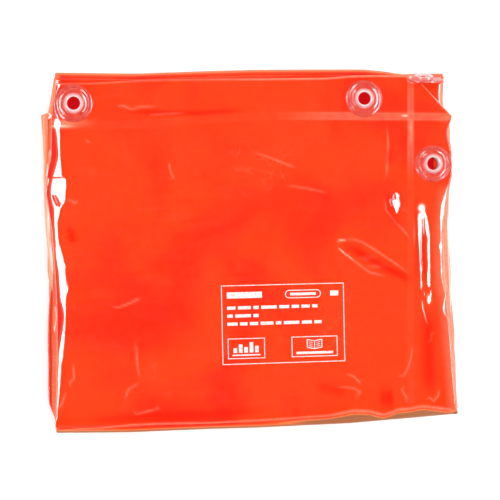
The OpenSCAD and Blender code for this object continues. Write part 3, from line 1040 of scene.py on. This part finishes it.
def build_flap():
    """The hem's corner that stands up from the far crease, with an eyelet through it."""
    across = np.linspace(-1, 1, 33)
    along_flap = np.concatenate([np.linspace(21, 12, 8), np.linspace(11, -17, 30)])
    c, s = math.cos(EAR_TILT), math.sin(EAR_TILT)
    points = []
    for v in along_flap:
        tucked = smooth(9, 21, v)  # the lower end goes back in to the crease
        tip = smooth(-8, -17, v)
        half = 20.2 - 6.5 * (1 - math.sqrt(max(0.0, 1 - tip**2))) + 1.5 * tucked
        for u in across:
            lift = -0.2 - 5.0 * tucked**2 - 1.2 * smooth(-15, -17, v) - 1.0 * u**4 * tip
            points.append((EAR_X + half * u, EAR_Y + v * c - lift * s, EAR_Z + v * s + lift * c))
    obj = mesh_of("raised_corner", np.array(points), grid_faces(len(along_flap), len(across), True))
    # a painted highlight along the flap's side edges
    write_attribute(obj, "pale", 0.6 * smooth(0.93, 1.0, np.abs(np.tile(across, len(along_flap)))))
    # the hole lies across the tilted plane, so it is cut in that plane's own measure
    bm = bmesh.new()
    bm.from_mesh(obj.data)
    axis = np.array([0, -s, c])
    centre = np.array([EAR_X, EAR_Y, EAR_Z])
    doomed = []
    for f in bm.faces:
        d = np.array(f.calc_center_median()) / MM - centre
        if abs(d @ axis) < 1 and np.linalg.norm(d - (d @ axis) * axis) < EAR_HOLE_R:
            doomed.append(f)
    bmesh.ops.delete(bm, geom=doomed, context="FACES")
    bm.to_mesh(obj.data)
    bm.free()
    finish_sheet(obj, SHEET)
    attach(obj, "fold_2")
    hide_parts("corner_flap")
    return obj


flap = build_flap()

# -------- the printed panel


def top_surface(x, y):
    """Height of the top sheet at places well inside the packet."""
    _, _, z = settle(1, x, y, np.full(x.shape, levels(1)[0]))
    return z + top_relief(x, y)


PRINT_AT = (27.5, -85.0)
PRINT_TURN = math.radians(0.6)
PRINT_W, PRINT_H, PRINT_LIFT = 133.0, 85.0, 0.16
LINE, BOLD_LINE, FINE_LINE = 0.8, 0.9, 0.6


class Print:
    """Flat marks laid on the top sheet, gathered into one mesh. Places are in mm from the panel's middle."""

    def __init__(self):
        self.points, self.faces = [], []

    def patch(self, corners, step=4.0):
        """A four-sided mark, divided so that it follows the sheet."""
        (ax, ay), (bx, by), (cx, cy), (dx, dy) = corners
        cols = max(1, int(math.hypot(bx - ax, by - ay) / step))
        rows = max(1, int(math.hypot(dx - ax, dy - ay) / step))
        start = len(self.points)
        for r in range(rows + 1):
            v = r / rows
            for c in range(cols + 1):
                u = c / cols
                x = (ax * (1 - u) + bx * u) * (1 - v) + (dx * (1 - u) + cx * u) * v
                y = (ay * (1 - u) + by * u) * (1 - v) + (dy * (1 - u) + cy * u) * v
                self.points.append((x, y))
        for a, b, c, d in grid_faces(rows + 1, cols + 1, False):
            self.faces.append((a + start, b + start, c + start, d + start))

    def bar(self, x, y, w, h):
        self.patch([(x, y), (x + w, y), (x + w, y + h), (x, y + h)])

    def stroke(self, a, b, width=LINE):
        (ax, ay), (bx, by) = a, b
        d = math.hypot(bx - ax, by - ay)
        nx, ny = (ay - by) / d * width / 2, (bx - ax) / d * width / 2
        self.patch([(ax - nx, ay - ny), (bx - nx, by - ny), (bx + nx, by + ny), (ax + nx, ay + ny)])

    def outline(self, x, y, w, h, width=LINE):
        self.bar(x, y, w, width)
        self.bar(x, y + h - width, w, width)
        self.bar(x, y + width, width, h - 2 * width)
        self.bar(x + w - width, y + width, width, h - 2 * width)

    def arc(self, x, y, r, start, turn, width=LINE, pieces=14):
        angles = [start + turn * n / pieces for n in range(pieces + 1)]
        spots = [(x + r * math.cos(a), y + r * math.sin(a)) for a in angles]
        for a, b in zip(spots[:-1], spots[1:]):
            self.stroke(a, b, width)

    def build(self):
        flat = np.array(self.points)
        c, s = math.cos(PRINT_TURN), math.sin(PRINT_TURN)
        x = PRINT_AT[0] + flat[:, 0] * c - flat[:, 1] * s
        y = PRINT_AT[1] + flat[:, 0] * s + flat[:, 1] * c
        z = top_surface(x, y) + PRINT_LIFT
        return mesh_of("print_marks", np.stack([x, y, z], 1), self.faces)


def draw_panel():
    """A plain panel: its frame, bars where lines of print would be, a round-cornered box and two pictures."""
    p = Print()
    w, h = PRINT_W, PRINT_H
    p.outline(-w / 2, -h / 2, w, h)
    left, top = -w / 2 + 6, h / 2 - 6
    # heading: a broad bar, a box with round ends beside it, and a small block
    p.bar(left, top - 8, 38, 6.5)
    box_x, low, box_w, box_h, r = 3.0, top - 9.5, 38.0, 9.0, 4.0
    for y in (low, low + box_h - BOLD_LINE):
        p.bar(box_x + r, y, box_w - 2 * r, BOLD_LINE)
    for x, start in ((box_x + r, math.pi / 2), (box_x + box_w - r, -math.pi / 2)):
        p.arc(x, low + box_h / 2, (box_h - BOLD_LINE) / 2, start, math.pi, BOLD_LINE)
    p.bar(box_x + 5, low + 3.1, box_w - 10, 2.8)
    p.bar(w / 2 - 15, top - 7.6, 9, 5.4)
    # three lines, each broken into short bars of uneven length, as words would be
    for row, length in enumerate((98, 34, 104)):
        x, n = left, 0
        while x < left + length - 3:
            step = min((9, 14, 6, 17, 11, 8)[(n + 2 * row) % 6], left + length - x)
            p.bar(x, top - 20 - row * 8.6, step, 3.4)
            x += step + 2.6
            n += 1
    # picture boxes: rising bars over a base line, and an open booklet over a base line
    low = -h / 2 + 6
    box_w, box_h = 40.0, 22.0
    p.outline(left, low, box_w, box_h)
    for n, tall in enumerate((5, 9, 6, 11, 7)):
        p.bar(left + 6 + n * 5.8, low + 6.5, 4.0, tall)
    p.bar(left + 5, low + 3.2, box_w - 10, 1.4)
    right, box_w = w / 2 - 58, 50
    p.outline(right, low, box_w, box_h)
    mid = right + box_w / 2
    for side in (-1, 1):
        outer, inner = mid + side * 8, mid + side * 2
        p.stroke((mid, low + 8.5), (outer, low + 10), BOLD_LINE)
        p.stroke((mid, low + 17), (outer, low + 18.5), BOLD_LINE)
        p.stroke((outer, low + 10), (outer, low + 18.5), BOLD_LINE)
        for line in range(3):
            y = low + 11 + line * 2.1
            p.stroke((inner, y), (mid + side * 6.4, y + 0.8), FINE_LINE)
    p.stroke((mid, low + 8.5), (mid, low + 17), BOLD_LINE)
    p.bar(right + 5, low + 3, box_w - 10, 2.6)
    obj = p.build()
    thicken(obj, 0.06, outwards=1)
    obj.data.materials.append(INK)
    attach(obj, "fold_1")
    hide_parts("printed_panel")


draw_panel()

# -------- floor, light and camera

FLOOR_HALF = 4000.0


def floor():
    corners = np.array([(-1, -1, 0), (1, -1, 0), (1, 1, 0), (-1, 1, 0)])
    obj = mesh_of("floor", FLOOR_HALF * corners, [(0, 1, 2, 3)])
    obj.location.z = -0.2 * MM
    material = bpy.data.materials.new("pale_floor")
    g = Graph(material)
    g.surface(
        Base_Color=g.ramp(g.noise(3.0), (0.3, 0.93), (0.7, 0.96)),
        Roughness=0.9,
        Specular_IOR_Level=0.1,
        Emission_Color=(1, 1, 1),
        Emission_Strength=0.25,
    )
    obj.data.materials.append(material)


def soft_box(name, place, size, power, gloss_only=False, shade_only=False):
    """A soft box that faces the packet."""
    light = bpy.data.lights.new(name, "AREA")
    light.shape = "RECTANGLE"
    light.size, light.size_y = size
    light.energy = power
    obj = placed(name, light)
    obj.location = place
    obj.rotation_mode = "QUATERNION"
    obj.rotation_quaternion = (-Vector(place)).to_track_quat("-Z", "Y")
    obj.visible_camera = False
    obj.visible_diffuse = not gloss_only
    obj.visible_glossy = not shade_only


def studio():
    world = bpy.data.worlds.new("studio")
    bpy.context.scene.world = world
    g = Graph(world, "Generated")
    split = g.nodes.new("ShaderNodeSeparateXYZ")
    g.links.new(g.coords, split.inputs[0])
    background = g.nodes["Background"]
    g.put(g.ramp(split.outputs["Z"], (0.0, 1), (0.5, 0.9), (0.95, 0.1)), background.inputs["Color"])
    background.inputs["Strength"].default_value = 1.0
    soft_box("left_strip", (-0.95, 0.05, 0.95), (1.6, 0.3), 42, gloss_only=True)
    soft_box("right_strip", (1.0, 0.1, 0.8), (1.6, 0.3), 42, gloss_only=True)
    soft_box("overhead", (0.1, 0.1, 1.9), (1.7, 1.7), 32, shade_only=True)


def camera():
    """Straight down but for a small lean from the left, as the packet was looked at."""
    target, distance = Vector((-0.0078, -0.0054, 0.0444)), 1.2
    lean, side, roll = (math.radians(angle) for angle in (5.8, 174, -0.6))
    back = Vector((math.sin(lean) * math.cos(side), math.sin(lean) * math.sin(side), math.cos(lean)))
    right = Vector((0, 1, 0)).cross(back).normalized()
    up = back.cross(right)
    turned_right = right * math.cos(roll) + up * math.sin(roll)
    turned_up = up * math.cos(roll) - right * math.sin(roll)
    data = bpy.data.cameras.new("camera")
    data.lens, data.sensor_width = 80.6, 36
    obj = placed("camera", data)
    matrix = Matrix((turned_right, turned_up, back)).transposed().to_4x4()
    matrix.translation = target + back * distance
    obj.matrix_world = matrix
    bpy.context.scene.camera = obj


floor()
studio()
camera()
bpy.context.scene.view_settings.view_transform = "Standard"
